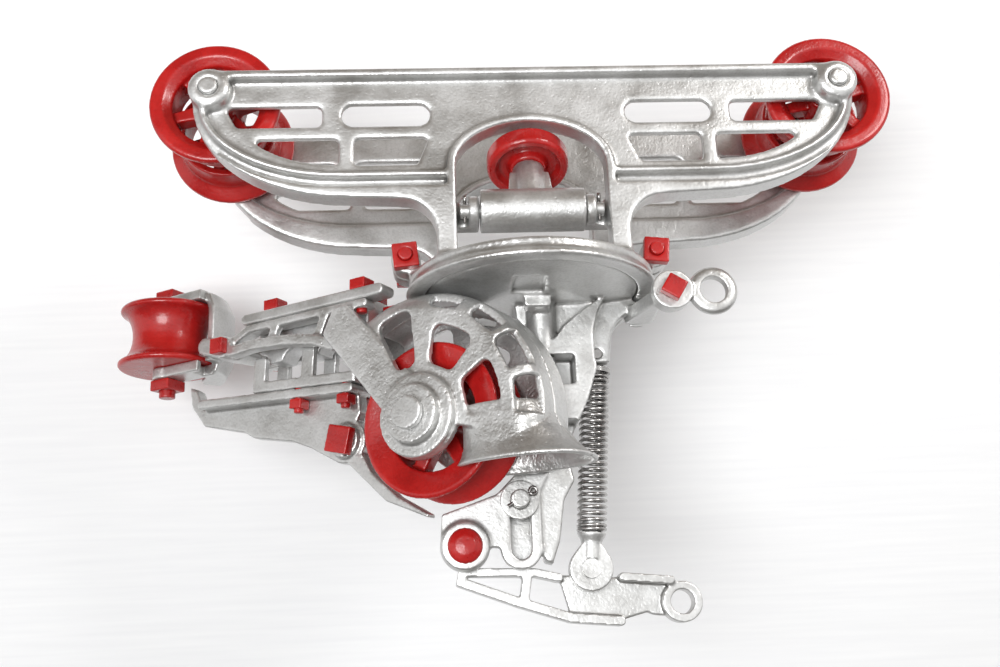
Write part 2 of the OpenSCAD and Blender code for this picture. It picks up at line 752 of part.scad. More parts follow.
module housing_rear() {
    color(silver) in_housing() difference() {
        union() {
            mirror([0, 1, 0]) union() {
                difference() {
                    housing_half();
                    hood_windows(42);
                }
                half_mouth();
            }
            rod_y(housing_bolts_at[0][0], housing_bolts_at[0][1], flange_in, hood_half - 6, 8.5);
            for (k = knuckle_spans) translate([hinge_along, 0, k[0]]) {
                translate([0, hinge_across, 0]) cylinder(r = knuckle_r, h = k[1] - k[0]);
                translate([-knuckle_r, hood_half - 4, 0])
                    cube([2 * knuckle_r, hinge_across - hood_half + 4, k[1] - k[0]]);
            }
            across(hood_half - 8, hood_half) bar_2d([sheave_x, sheave_z], [grip_x, grip_z], 34);
        }
        jaw_bolt_holes();
        translate([hinge_along, hinge_across, -400]) cylinder(r = hinge_pin_r + run, h = 300);
        rod_y(grip_x, grip_z, 0, 60, grip_bolt_r + 0.02);
        rod_y(housing_bolts_at[0][0], housing_bolts_at[0][1], 0, 60, housing_bolt_r + run);
        rod_y(sheave_x, sheave_z, -1, 100, sheave_pin_r + 0.02);
    }
}
module housing_bolts() {
    fronts = [flange_in, 2 - hood_half];
    backs = [hood_half - 6, hood_half - 2];
    color(red) in_housing() for (i = [0, 1]) let (b = housing_bolts_at[i]) union() {
        rod_y(b[0], b[1], fronts[i] - 1, backs[i] + 12, housing_bolt_r);
        square_head(b[0], b[1], fronts[i] - 8, fronts[i], 15);
    }
}
module housing_nuts() {
    backs = [hood_half - 6, hood_half - 2];
    color(red) in_housing() for (i = [0, 1]) let (b = housing_bolts_at[i]) difference() {
        square_head(b[0], b[1], backs[i], backs[i] + 8, 15, 12);
        rod_y(b[0], b[1], 0, 100, housing_bolt_r + run);
    }
}

// Rope sheave: deep groove, spokes and hub, on a pin through both hubs
module rope_sheave() {
    half = sheave_w / 2;
    groove = sheave_r - 15;
    color(red) in_housing() translate([sheave_x, half, sheave_z]) rotate([90, 0, 0]) difference() {
        union() {
            rotate_extrude($fn = 96) polygon(concat(
                [[groove - 8, 6], [sheave_r - 4, 0], [sheave_r - 1, 0.5], [sheave_r, 3], [sheave_r - 2, 5]],
                arc([groove + 13, half], 13, half - 9, -90 - 30, -90 - 150, 8),
                [[sheave_r - 2, sheave_w - 5], [sheave_r, sheave_w - 3], [sheave_r - 1, sheave_w - 0.5],
                 [sheave_r - 4, sheave_w], [groove - 8, sheave_w - 6]]
            ));
            cylinder(r = sheave_pin_r + 9, h = sheave_w);
            for (i = [0:5]) rotate(i * 60) translate([0, 0, half - 7]) linear_extrude(14)
                polygon([[12, -8], [groove - 5, -5.5], [groove - 5, 5.5], [12, 8]]);
        }
        translate([0, 0, -1]) cylinder(r = sheave_pin_r + run, h = sheave_w + 2);
    }
}
module sheave_pin() {
    color(silver) in_housing() union() {
        rod_y(sheave_x, sheave_z, -hub_out + 1, hub_out - 1, sheave_pin_r);
        rod_y(sheave_x, sheave_z, -hub_out, -hub_out + 6 - face_gap, sheave_pin_r + 4);
        rod_y(sheave_x, sheave_z, hub_out - 6 + face_gap, hub_out, sheave_pin_r + 4);
    }
}

// Upper jaw: clamp bar across both halves with a lobed shoe under it
module jaw_bolt_holes() {
    for (b = jaw_bolts_at) translate([b[0], b[1], bar_z - flange_t - 4])
        cylinder(r = jaw_bolt_r + run, h = flange_t + bar_t + 8);
}
module upper_jaw() {
    shoe_half = channel_w / 2 - 2;
    shoe_foot = jaw_gap - channel_drop;
    color(silver) in_housing() difference() {
        union() {
            across(-bar_y - bar_w / 2, -bar_y + bar_w / 2)
                bar_2d([bar_left + bar_t / 2, bar_z + bar_t / 2],
                       [bar_right - bar_t / 2, bar_z + bar_t / 2], bar_t);
            across(bar_y - bar_w / 2, bar_y + bar_w / 2)
                bar_2d([bar_left + bar_t / 2, bar_z + bar_t / 2],
                       [rear_bar_right - bar_t / 2, bar_z + bar_t / 2], bar_t);
            across(-bar_y, bar_y) translate([shoe_left, bar_z + 0.5]) square([shoe_l, bar_t - 3]);
            across(-shoe_half, shoe_half) difference() {
                translate([shoe_left, shoe_foot]) square([shoe_l, bar_z - shoe_foot + 1]);
                for (i = [0:3]) circle_at([shoe_left + i * shoe_l / 3, shoe_foot - 3], 14);
            }
        }
        jaw_bolt_holes();
    }
}
module upper_jaw_bolts() {
    color(red) in_housing() for (b = jaw_bolts_at) translate([b[0], b[1], bar_z]) union() {
        translate([0, 0, -flange_t - 3]) cylinder(r = jaw_bolt_r, h = flange_t + bar_t + 4);
        translate([0, 0, bar_t + 5]) cube([16, 16, 10], center = true);
    }
}

// Guide roller in its yoke, at the far end of the housing
module guide_yoke() {
    rise = guide_h / 2 + face_gap + yoke_t / 2;
    inner = flange_in - face_gap;
    color(silver) in_housing() difference() {
        union() {
            translate([guide_x, 0, guide_z]) rotate([0, 0, -5]) rotate_extrude(angle = yoke_angle, $fn = 96)
                path_2d([[40, rise], [54, rise - 1], [strap_r - 1, 24], [strap_r, 0], [strap_r - 1, -24],
                         [54, 1 - rise], [40, -rise]], strap_t);
            for (z = [guide_z - rise, guide_z + rise]) translate([guide_x, 0, z - yoke_t / 2]) {
                cylinder(r = yoke_w / 2 + 2, h = yoke_t);
                translate([0, -yoke_w / 2, 0]) cube([52, yoke_w, yoke_t]);
            }
            across(-inner, inner) bar_2d([guide_x + strap_r, -171], housing_bolts_at[1], 17);
        }
        translate([guide_x, 0, -300]) cylinder(r = guide_bolt_r + 0.02, h = 300);
        rod_y(housing_bolts_at[1][0], housing_bolts_at[1][1], -100, 100, housing_bolt_r + run);
        translate([guide_x + notch_from, -grip_web / 2 - notch_gap, guide_z - rise - yoke_t])
            cube([strap_r + strap_t / 2 - notch_from, grip_web + 2 * notch_gap, yoke_t * 1.5 + 0.5]);
    }
}
module guide_roller() {
    half = guide_h / 2;
    color(red) in_housing() translate([guide_x, 0, guide_z]) rotate_extrude($fn = 96) polygon(concat(
        [[guide_bolt_r + run, -half], [guide_r - 2, -half], [guide_r, 2 - half], [guide_r, 5 - half]],
        arc([guide_r, 0], guide_r - guide_waist, half - 6, -90 - 12, -270 + 12, 10),
        [[guide_r, half - 5], [guide_r, half - 2], [guide_r - 2, half], [guide_bolt_r + run, half]]
    ));
}
module guide_bolt() {
    top = guide_top + face_gap + yoke_t;
    foot = guide_foot - face_gap - yoke_t;
    color(red) in_housing() translate([guide_x, 0, 0]) union() {
        translate([0, 0, foot - 18]) cylinder(r = guide_bolt_r, h = top - foot + 19);
        translate([0, 0, top + 4.5]) cube([23, 23, 9], center = true);
    }
}
module guide_nut() {
    foot = guide_foot - face_gap - yoke_t;
    color(red) in_housing() translate([guide_x, 0, foot - 5.5]) difference() {
        cube([24, 24, 11], center = true);
        cylinder(r = guide_bolt_r + run, h = 50, center = true);
    }
}

// Rope grip: lever under the rope that lifts the channelled lower jaw
module grip_pivot_bolt() {
    color(red) in_housing() union() {
        rod_y(grip_x, grip_z, -12, hood_half + 13, grip_bolt_r);
        square_head(grip_x, grip_z, -20, -11, 24, 14);
    }
}
module grip_pivot_nut() {
    color(red) in_housing() difference() {
        square_head(grip_x, grip_z, hood_half, hood_half + 10, 22);
        rod_y(grip_x, grip_z, 0, 100, grip_bolt_r + run);
    }
}
module tilted_grip() {
    translate([grip_x, 0, grip_z]) rotate([0, grip_tilt, 0]) translate([-grip_x, 0, -grip_z]) children();
}
module grip_lever() {
    color(silver) in_housing() difference() {
        union() {
            across(-grip_web / 2, grip_web / 2) {
                polygon([[-382, -207], [-373, -212], [-362, -232], [-178, grip_top - 5], [-176, -262],
                         [grip_x, grip_z], [-199, -305], [-231, -287], [-253, -278], [-298, -269],
                         [-310, -262], [-361, -249], [-378, -228]]);
                circle_at([grip_x, grip_z], grip_hub_r);
                polygon(grip_tail);
            }
            tilted_grip() across(-channel_w / 2 - jaw_wall, channel_w / 2 + jaw_wall)
                rounded_2d(-362, -178, grip_top - grip_flange_t, grip_top, 4);
            rod_y(grip_x, grip_z, -11 + face_gap, hood_half - 8 - face_gap, 15);
        }
        rod_y(grip_x, grip_z, -100, 100, grip_bolt_r + run);
        tilted_grip() {
            at_lower_bolts() translate([0, 0, -300])
                cylinder(r = lower_bolt_r + run, h = 300 - channel_drop);
            translate([-330, -40, grip_top]) cube([160, 80, 30]);
        }
    }
}
module lower_jaw() {
    half = channel_w / 2 + jaw_wall;
    foot = grip_top + face_gap;
    color(silver) in_housing() tilted_grip() difference() {
        union() {
            translate([0, 0, foot]) linear_extrude(jaw_floor_t) rounded_2d(-294, -175, -half, half, 4);
            for (side = [0, 1], p = jaw_posts) mirror([0, side, 0]) across(-half, -channel_w / 2)
                rounded_2d(p[0], p[0] + jaw_post_w, foot + 2, foot + jaw_floor_t + p[1], 3);
        }
        at_lower_bolts() translate([0, 0, -300]) cylinder(r = lower_bolt_r + run, h = 300 - channel_drop);
    }
}
module at_lower_bolts() {
    for (x = lower_jaw_bolts_x, side = [-1, 1]) translate([x, side * lower_bolt_y, 0]) children();
}
module lower_jaw_bolts() {
    foot = grip_top - grip_flange_t - 13;
    color(red) in_housing() tilted_grip() at_lower_bolts()
        translate([0, 0, foot]) cylinder(r = lower_bolt_r, h = -channel_drop - foot - 0.5);
}
module lower_jaw_nuts() {
    color(red) in_housing() tilted_grip() at_lower_bolts()
        translate([0, 0, grip_top - grip_flange_t - face_gap - 4.5]) difference() {
            cube([13, 13, 9], center = true);
            cylinder(r = lower_bolt_r + run, h = 50, center = true);
        }
}

// Trip gear: lever with its eye, link in the slotted plate, return spring
module trip_lever() {
    eye = [117, -434];
    color(silver) hung() difference() {
        union() {
            rod_y(pivot_x, pivot_z, lever_y, lever_y + lever_d, 17);
            across(lever_y, lever_y + lever_d) {
                path_2d([[pivot_x, pivot_z - 8], [-68, -412], [-20, -430], [23, -444], [64, -448]], 8);
                path_2d([[-66, -404], [-6, -406]], 7);
                bar_2d([-12, -406], [-16, -430], 8);
                path_2d([[-6, -406], [14, -411]], 7);
                path_2d([[68, -412], [108, -416]], 7);
            }
            across(web_front, web_front + 7) {
                polygon([[14, -408], [110, -415], eye, [66, -447], [23, -443]]);
                bar_2d([96, -432], eye, 24);
            }
            rod_y(eye[0], eye[1], lever_y + 2, lever_y + lever_d - 1, trip_eye_r + 7);
        }
        rod_y(pivot_x, pivot_z, -50, 80, pivot_r + run);
        rod_y(eye[0], eye[1], -50, 80, trip_eye_r);
        rod_y(spring_foot[0], spring_foot[1], -50, 80, 6.02);
    }
}
module eye_rivet() {
    eye_front = spring_y - 6 - face_gap;
    color(silver) hung() union() {
        rod_y(spring_foot[0], spring_foot[1], eye_front - 1, web_front + 9, 6);
        rod_y(spring_foot[0], spring_foot[1], web_front + 7, web_front + 10, 9);
        rod_y(spring_foot[0], spring_foot[1], eye_front - 1.6, eye_front, 8);
    }
}
module lift_link() {
    y0 = plate_y + plate_t + link_set;
    color(silver) hung() difference() {
        across(y0, y0 + 9) rounded_2d(link_x - 13, link_x + 13, slot_foot, slot_top + 6, 6);
        rod_y(link_x, link_z, -50, 50, link_pin_r + 0.02);
    }
}
module link_pin() {
    y0 = plate_y - 13;
    color(silver) hung() difference() {
        rod_y(link_x, link_z, y0, plate_y + plate_t + link_set + 11, link_pin_r);
        translate([link_x, y0 + 5, link_z]) rotate([0, 60, 0]) cylinder(r = 1.8, h = 40, center = true);
    }
}
module link_washer() {
    color(silver) hung() difference() {
        rod_y(link_x, link_z, plate_y - 4, plate_y - face_gap, 16.5);
        rod_y(link_x, link_z, -50, 50, link_pin_r + run);
    }
}
module link_cotter() {
    color(steel) hung() translate([link_x, plate_y - 8, link_z]) rotate([0, 60, 0]) union() {
        cylinder(r = 1.7, h = 2 * link_pin_r + 9, center = true);
        translate([0, 0, link_pin_r + 5]) rotate([90, 0, 0])
            rotate_extrude($fn = 24) translate([3, 0]) circle(1.5, $fn = 16);
    }
}
module along_spring() {
    translate([anchor[0], spring_y, anchor[1]]) rotate([0, spring_lean, 0]) mirror([0, 0, 1]) children();
}
module on_spring() {
    hung() along_spring() children();
}
module spring_hook() {
    color(steel) on_spring() difference() {
        union() {
            rod_y(0, 0, -3.7, 3.7, 8);
            cylinder(r = coil_r - wire_d / 2 - 2, h = seat_top + 12);
            translate([0, 0, seat_top - 4]) cylinder(r = coil_r + 2, h = 4);
        }
        rod_y(0, 0, -20, 20, 4 + run);
        translate([-30, 3.7, -12]) cube([60, 20, seat_top + 8]);
        translate([-30, -23.7, -12]) cube([60, 20, seat_top + 8]);
    }
}
module spring_eye() {
    color(silver) on_spring() difference() {
        union() {
            translate([0, 0, seat_foot - 12]) cylinder(r = coil_r - wire_d / 2 - 2, h = 16);
            translate([0, 0, seat_foot]) rotate_extrude()
                polygon([[0, 0], [coil_r + 1, 0], [coil_r, 3], [9, 7], [8.4, 10], [8.4, 22], [0, 22]]);
            across(-6, 6)
                polygon([[-8, seat_foot + 9], [8, seat_foot + 9], [15, seat_foot + 19], [-15, seat_foot + 19]]);
            rod_y(0, spring_len, -6, web_front - spring_y - face_gap, 18.5);
        }
        rod_y(0, spring_len, -20, 20, 6.8);
    }
}
// Coil as one unbroken tube, with a straight end square to each seat
ring_steps = 8;
tube_sides = 6;
coil_start = seat_top + 1.2 * wire_d;
coil_end = seat_foot - face_gap - 1.2 * wire_d;
function coil_point(t) = let (a = 360 * coil_turns * t)
    [coil_r * cos(a), coil_r * sin(a), coil_start + (coil_end - coil_start) * t];
function tube_ring(p, along) = let (out = unit([p[0], p[1], 0]), side = cross(unit(along), out))
    [for (k = [0:tube_sides - 1]) let (a = 360 * k / tube_sides)
        p + wire_d / 2 * (cos(a) * out + sin(a) * side)];
module return_spring() {
    turns = coil_turns * ring_steps;
    coil = [for (i = [0:turns]) coil_point(i / turns)];
    pts = concat([[coil_r, 0, seat_top]], coil, [[coil_r, 0, seat_foot - face_gap]]);
    n = turns + 2;
    steps = [for (i = [0:n - 1]) unit(pts[i + 1] - pts[i])];
    rings = [for (i = [0:n]) tube_ring(pts[i], steps[max(i - 1, 0)] + steps[min(i, n - 1)])];
    last = n * tube_sides;
    verts = [for (r = rings, p = r) p];
    faces = concat(
        [for (i = [0:n - 1], k = [0:tube_sides - 1]) let (a = i * tube_sides, m = (k + 1) % tube_sides)
            each [[a + k, a + m, a + tube_sides + k], [a + m, a + tube_sides + m, a + tube_sides + k]]],
        [for (k = [1:tube_sides - 2]) [0, k + 1, k]],
        [for (k = [1:tube_sides - 2]) [last, last + k, last + k + 1]]
    );
    echo(least_gap = min([for (i = [0:turns - ring_steps]) norm(coil[i + ring_steps] - coil[i])]) - wire_d);
    color(steel) on_spring() polyhedron(verts, faces);
}

front_side_frame();
rear_side_frame();
track_wheel_front_left();
track_wheel_front_right();
track_wheel_rear_left();
track_wheel_rear_right();
wheel_axles();
ring_bolts();
ring_nuts();
catch_hinge_pin();
catch_cotters();
catch_bracket();
catch_roller();
catch_roller_stud();
swivel_body();
becket_eye();
becket_bolt();
housing_hinge_pin();
trip_pivot_pin();
spring_anchor_pin();
housing_front();
housing_rear();
housing_bolts();
housing_nuts();
rope_sheave();
sheave_pin();
upper_jaw();
upper_jaw_bolts();
guide_yoke();
guide_roller();
guide_bolt();
guide_nut();
grip_pivot_bolt();
grip_pivot_nut();
grip_lever();
lower_jaw();
lower_jaw_bolts();
lower_jaw_nuts();
trip_lever();
eye_rivet();
lift_link();
link_pin();
link_washer();
link_cotter();
spring_hook();
return_spring();
spring_eye();
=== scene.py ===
import math
import bmesh
import bpy
from mathutils import Matrix, Vector


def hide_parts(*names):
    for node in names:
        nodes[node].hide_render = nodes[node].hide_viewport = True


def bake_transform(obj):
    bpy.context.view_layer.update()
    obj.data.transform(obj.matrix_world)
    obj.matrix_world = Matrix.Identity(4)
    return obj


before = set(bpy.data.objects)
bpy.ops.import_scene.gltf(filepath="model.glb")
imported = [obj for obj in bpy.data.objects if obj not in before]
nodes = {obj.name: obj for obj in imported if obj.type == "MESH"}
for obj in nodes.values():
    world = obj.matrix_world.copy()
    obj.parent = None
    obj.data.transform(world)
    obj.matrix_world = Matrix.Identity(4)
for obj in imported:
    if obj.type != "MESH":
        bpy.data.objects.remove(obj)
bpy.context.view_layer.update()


# Side frames.
# Two sand-cast iron frames with pierced webs, brushed over with aluminium paint.
# The mould leaves soft corners and a pebbled skin. The grooves and creases are darkened with
# painted shade, which also stands for paint pooled there, and sharp edges are painted a little
# lighter as painted highlight and wear.
weld_distance = 0.00002
node_spacing = 200


def paint(node, material):
    if not node.material_slots:
        node.data.materials.append(material)
    for slot in node.material_slots:
        slot.link = "OBJECT"
        slot.material = material


def soften(name, voxel, rounds, material):
    node = nodes[name]
    weld = node.modifiers.new("join faces", "WELD")
    weld.merge_threshold = weld_distance
    skin = node.modifiers.new("cast skin", "REMESH")
    skin.mode = "VOXEL"
    skin.voxel_size = voxel
    skin.use_smooth_shade = True
    ease = node.modifiers.new("soft corners", "SMOOTH")
    ease.factor = 0.5
    ease.iterations = rounds
    paint(node, material)


def add(tree, kind, at, **values):
    made = tree.nodes.new(kind)
    made.location = (at[0] * node_spacing, at[1] * -node_spacing)
    for key, value in values.items():
        if hasattr(made, key):
            setattr(made, key, value)
        else:
            made.inputs[key.replace("_", " ")].default_value = value
    return made


def grey(value):
    return (value, value, value)


def ramp(tree, at, stops):
    made = add(tree, "ShaderNodeValToRGB", at)
    while len(made.color_ramp.elements) < len(stops):
        made.color_ramp.elements.new(0.5)
    for element, (place, color) in zip(made.color_ramp.elements, stops):
        element.position = place
        element.color = (*color, 1)
    return made


# The skin is grains of about two millimetres, on broader swells, with pits. Patches are
# the slow changes in the paint, and specks are single grains.
cast_skin = bpy.data.node_groups.new("cast skin", "ShaderNodeTree")
cast_skin.interface.new_socket("Place", in_out="INPUT", socket_type="NodeSocketVector")
for output in ("Height", "Patches", "Specks"):
    cast_skin.interface.new_socket(output, in_out="OUTPUT", socket_type="NodeSocketFloat")
given = add(cast_skin, "NodeGroupInput", (-4, 0))
given_out = add(cast_skin, "NodeGroupOutput", (4, 0))
grains = add(cast_skin, "ShaderNodeTexNoise", (-2, 0), Scale=430.0, Detail=2.0, Roughness=0.55)
swells = add(cast_skin, "ShaderNodeTexNoise", (-2, 1), Scale=95.0, Detail=2.0, Roughness=0.5)
pits = add(cast_skin, "ShaderNodeTexVoronoi", (-2, 2), Scale=210.0, Randomness=1.0)
broad = add(cast_skin, "ShaderNodeTexNoise", (-2, 3), Scale=22.0, Detail=4.0, Roughness=0.6)
pit_depth = ramp(cast_skin, (0, 2), [(0.0, grey(0.2)), (0.16, grey(0.55)), (0.4, grey(0.6))])
grain_share = 0.5
relief = add(cast_skin, "ShaderNodeMath", (1, 0), operation="MULTIPLY_ADD")
relief.inputs[1].default_value = grain_share
pitted = add(cast_skin, "ShaderNodeMath", (2, 0), operation="ADD")
link = cast_skin.links.new
for texture in (grains, swells, pits, broad):
    link(given.outputs["Place"], texture.inputs["Vector"])
link(grains.outputs["Fac"], relief.inputs[0])
link(swells.outputs["Fac"], relief.inputs[2])
link(pits.outputs["Distance"], pit_depth.inputs["Fac"])
link(relief.outputs[0], pitted.inputs[0])
link(pit_depth.outputs["Color"], pitted.inputs[1])
link(pitted.outputs[0], given_out.inputs["Height"])
link(broad.outputs["Fac"], given_out.inputs["Patches"])
link(grains.outputs["Fac"], given_out.inputs["Specks"])


def cast_paint(name, patches, roughness, metallic, coat, grain, lift):
    gloss_spread = 0.07
    speck_share = 0.55
    crease_shade_share = 0.95
    made = bpy.data.materials.new(name)
    made.use_nodes = True
    tree = made.node_tree
    shader = tree.nodes["Principled BSDF"]
    shader.inputs["Metallic"].default_value = metallic
    shader.inputs["Coat Weight"].default_value = coat
    shader.inputs["Coat Roughness"].default_value = 0.10
    shader.inputs["Specular IOR Level"].default_value = 0.4
    place = add(tree, "ShaderNodeTexCoord", (-6, 0))
    skin = add(tree, "ShaderNodeGroup", (-5, 0))
    skin.node_tree = cast_skin
    tint = ramp(tree, (-3, 0), patches)
    gloss = ramp(tree, (-3, 1), [(0.35, grey(roughness - gloss_spread)),
                                 (0.65, grey(roughness + gloss_spread))])
    dip = ramp(tree, (-3, 2), [(0.3, grey(0.80)), (0.55, grey(1.0))])
    shade = add(tree, "ShaderNodeMix", (-2, 0), data_type="RGBA", blend_type="MULTIPLY")
    shade.inputs["Factor"].default_value = speck_share
    # Pointiness darkens creases and grooves with painted shade, which also stands for pooled paint,
    # and leaves sharp edges lighter as painted highlight and wear.
    form = add(tree, "ShaderNodeNewGeometry", (-4, -2))
    crease_shade_ramp = ramp(tree, (-3, -2), [(0.43, (0.22, 0.21, 0.20)), (0.492, grey(0.90)),
                                 (0.53, grey(1.0))])
    crease_shaded = add(tree, "ShaderNodeMix", (-1, 0), data_type="RGBA", blend_type="MULTIPLY")
    crease_shaded.inputs["Factor"].default_value = crease_shade_share
    bump = add(tree, "ShaderNodeBump", (-1, 3), Strength=grain, Distance=lift)
    link = tree.links.new
    link(place.outputs["Object"], skin.inputs["Place"])
    link(skin.outputs["Patches"], tint.inputs["Fac"])
    link(skin.outputs["Patches"], gloss.inputs["Fac"])
    link(skin.outputs["Specks"], dip.inputs["Fac"])
    link(tint.outputs["Color"], shade.inputs["A"])
    link(dip.outputs["Color"], shade.inputs["B"])
    link(form.outputs["Pointiness"], crease_shade_ramp.inputs["Fac"])
    link(shade.outputs["Result"], crease_shaded.inputs["A"])
    link(crease_shade_ramp.outputs["Color"], crease_shaded.inputs["B"])
    link(crease_shaded.outputs["Result"], shader.inputs["Base Color"])
    link(gloss.outputs["Color"], shader.inputs["Roughness"])
    link(skin.outputs["Height"], bump.inputs["Height"])
    link(bump.outputs["Normal"], shader.inputs["Normal"])
    return made


silver_stops = [(0.30, (0.52, 0.515, 0.50)), (0.50, (0.66, 0.66, 0.65)),
                (0.70, (0.74, 0.74, 0.735))]
silver = cast_paint("aluminium paint on casting", silver_stops, roughness=0.40,
                    metallic=0.85, coat=0.0, grain=0.7, lift=0.0006)
for side in ("front_side_frame", "rear_side_frame"):
    soften(side, 0.0019, 5, silver)


# Track wheels.
# Four flanged cast wheels with spokes, in red enamel that has run thick over the casting,
# so their skin is glossier and smoother than the silver paint.
red_stops = [(0.30, (0.33, 0.007, 0.007)), (0.50, (0.45, 0.011, 0.010)),
             (0.70, (0.52, 0.016, 0.013))]
red = cast_paint("red enamel on casting", red_stops, roughness=0.30,
                 metallic=0.0, coat=0.30, grain=0.5, lift=0.0008)
for wheel in ("front_left", "front_right", "rear_left", "rear_right"):
    soften("track_wheel_" + wheel, 0.0012, 3, red)


# Axles and ring bolts.
# The stub axles end in flat silver rivet heads on the frame bosses.
# The ring's two bolts and square nuts carry the same red as the wheels.
def soften_fasteners(*names):
    for name in names:
        soften(name, 0.0008, 7, red)


soften("wheel_axles", 0.0013, 2, silver)
soften_fasteners("ring_bolts", "ring_nuts")


# Stop catch.
# A silver barrel on a hinge pin between the frame's legs, with a tongue that holds a
# red roller. Split pins of plain steel wire keep the hinge pin in place.
steel_stops = [(0.30, (0.30, 0.29, 0.28)), (0.60, (0.50, 0.49, 0.48))]
steel = cast_paint("bare steel wire", steel_stops, roughness=0.24,
                   metallic=1.0, coat=0.0, grain=0.15, lift=0.0002)
soften("catch_bracket", 0.0011, 4, silver)
soften("catch_roller", 0.001, 3, red)
soften("catch_roller_stud", 0.0008, 2, silver)
soften("catch_hinge_pin", 0.0008, 2, silver)
paint(nodes["catch_cotters"], steel)


# Swivel body.
# The turntable disc, its fin, neck and slotted plate are one silver casting. The becket's
# bolt is red, and the trip pivot shows a red dome.
soften("swivel_body", 0.0015, 4, silver)
soften("becket_eye", 0.0009, 3, silver)
soften_fasteners("becket_bolt")
soften("housing_hinge_pin", 0.0009, 2, silver)
soften("trip_pivot_pin", 0.0008, 2, red)
paint(nodes["spring_anchor_pin"], steel)


# Rope housing.
# Two pierced halves of a hood round the red sheave, joined by red bolts, with the
# heaviest cast grain of all on the hood and its bell mouth.
coarse = cast_paint("aluminium paint on coarse casting", silver_stops, roughness=0.40,
                    metallic=0.85, coat=0.0, grain=0.9, lift=0.0009)
soften("housing_front", 0.0013, 4, coarse)
soften("housing_rear", 0.0013, 4, coarse)
soften_fasteners("housing_bolts", "housing_nuts")
soften("rope_sheave", 0.0014, 3, red)
soften("sheave_pin", 0.0012, 2, silver)


# Upper jaw and rope guide.
# Silver straps bolted along the top of the housing, and at its outer end a strap
# that holds the red guide roller on its upright bolt.
soften("upper_jaw", 0.0013, 3, silver)
soften("guide_yoke", 0.0013, 4, silver)
soften("guide_roller", 0.0013, 3, red)
soften_fasteners("upper_jaw_bolts", "guide_bolt", "guide_nut")


# Rope grip.
# A silver lever under the rope, turning on a red bolt, with the channelled lower jaw
# held on its flange by red bolts and nuts.
soften("grip_lever", 0.0012, 4, silver)
soften("lower_jaw", 0.001, 3, silver)
soften_fasteners("grip_pivot_bolt", "grip_pivot_nut", "lower_jaw_bolts", "lower_jaw_nuts")


# Trip gear.
# Silver lever with its rope eye, a link behind the slotted plate with pin, washer
# and split pin, and the hook and eye that the return spring sits between.
soften("trip_lever", 0.0011, 3, silver)
soften("lift_link", 0.001, 2, silver)
soften("link_pin", 0.0008, 2, silver)
soften("link_washer", 0.0008, 1, silver)
soften("spring_eye", 0.0009, 3, silver)
paint(nodes["eye_rivet"], silver)
paint(nodes["link_cotter"], steel)
paint(nodes["spring_hook"], steel)


# Return spring.
# A coil of round steel wire between the hook's seat and the eye's seat, with its end turns
# closed. It is finer than the solid that stands for it.
anchor = Vector((0.0562, 0.02525, -0.176))
foot = Vector((0.041, 0.02525, -0.359))
down = (foot - anchor).normalized()
out = Vector((0, 1, 0)).cross(down).normalized()
seat_top = 0.014
seat_foot = (foot - anchor).length - 0.0303
wire = 0.0015
coil = 0.0115
turns = 24
end_turns = 1.5
closed_pitch = 2.1 * wire
open_pitch = (seat_foot - seat_top - 2 * wire - 2 * end_turns * closed_pitch) / turns
steps_a_turn = 28
full_turn = 2 * math.pi
spring = bmesh.new()
along = (Vector((0, 1, 0)) * full_turn * coil + down * closed_pitch).normalized()
tip_place = Matrix((out, along.cross(out), along)).transposed().to_4x4()
tip_place.translation = anchor + out * coil + down * (seat_top + wire)
tip = bmesh.ops.create_circle(spring, cap_ends=True, radius=wire, segments=12,
                              matrix=tip_place)["verts"]
winding = tip + list(spring.edges) + list(spring.faces)
runs = ((end_turns, closed_pitch), (turns, open_pitch), (end_turns, closed_pitch))
for count, pitch in runs:
    spun = bmesh.ops.spin(spring, geom=winding, cent=anchor, axis=down,
                          dvec=down * pitch / steps_a_turn, angle=full_turn * count,
                          steps=int(count * steps_a_turn))
    winding = spun["geom_last"]
bmesh.ops.recalc_face_normals(spring, faces=spring.faces)
for face in spring.faces:
    face.smooth = True
mesh = bpy.data.meshes.new("coiled_spring")
spring.to_mesh(mesh)
spring.free()
mesh.materials.append(steel)
coiled = bpy.data.objects.new("coiled_spring", mesh)
bpy.context.collection.objects.link(coiled)
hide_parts("return_spring")
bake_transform(coiled)


# Stage.
# A white painted board stands behind the part and takes its soft shadows; from behind it
# can be seen through. Lamps and dull cards shape the light, and rays that miss see white.
def sheet(name, corners, material):
    flat = bmesh.new()
    flat.faces.new([flat.verts.new(corner) for corner in corners])
    mesh = bpy.data.meshes.new(name)
    flat.to_mesh(mesh)
    flat.free()
    mesh.materials.append(material)
    made = bpy.data.objects.new(name, mesh)
    bpy.context.collection.objects.link(made)
    return made


def clear_where(tree, shader, factor):
    clear = add(tree, "ShaderNodeBsdfTransparent", (-1, 2))
    either = add(tree, "ShaderNodeMixShader", (1, 0))
    tree.links.new(factor, either.inputs["Fac"])
    tree.links.new(shader.outputs["BSDF"], either.inputs[1])
    tree.links.new(clear.outputs["BSDF"], either.inputs[2])
    tree.links.new(either.outputs["Shader"], tree.nodes["Material Output"].inputs["Surface"])


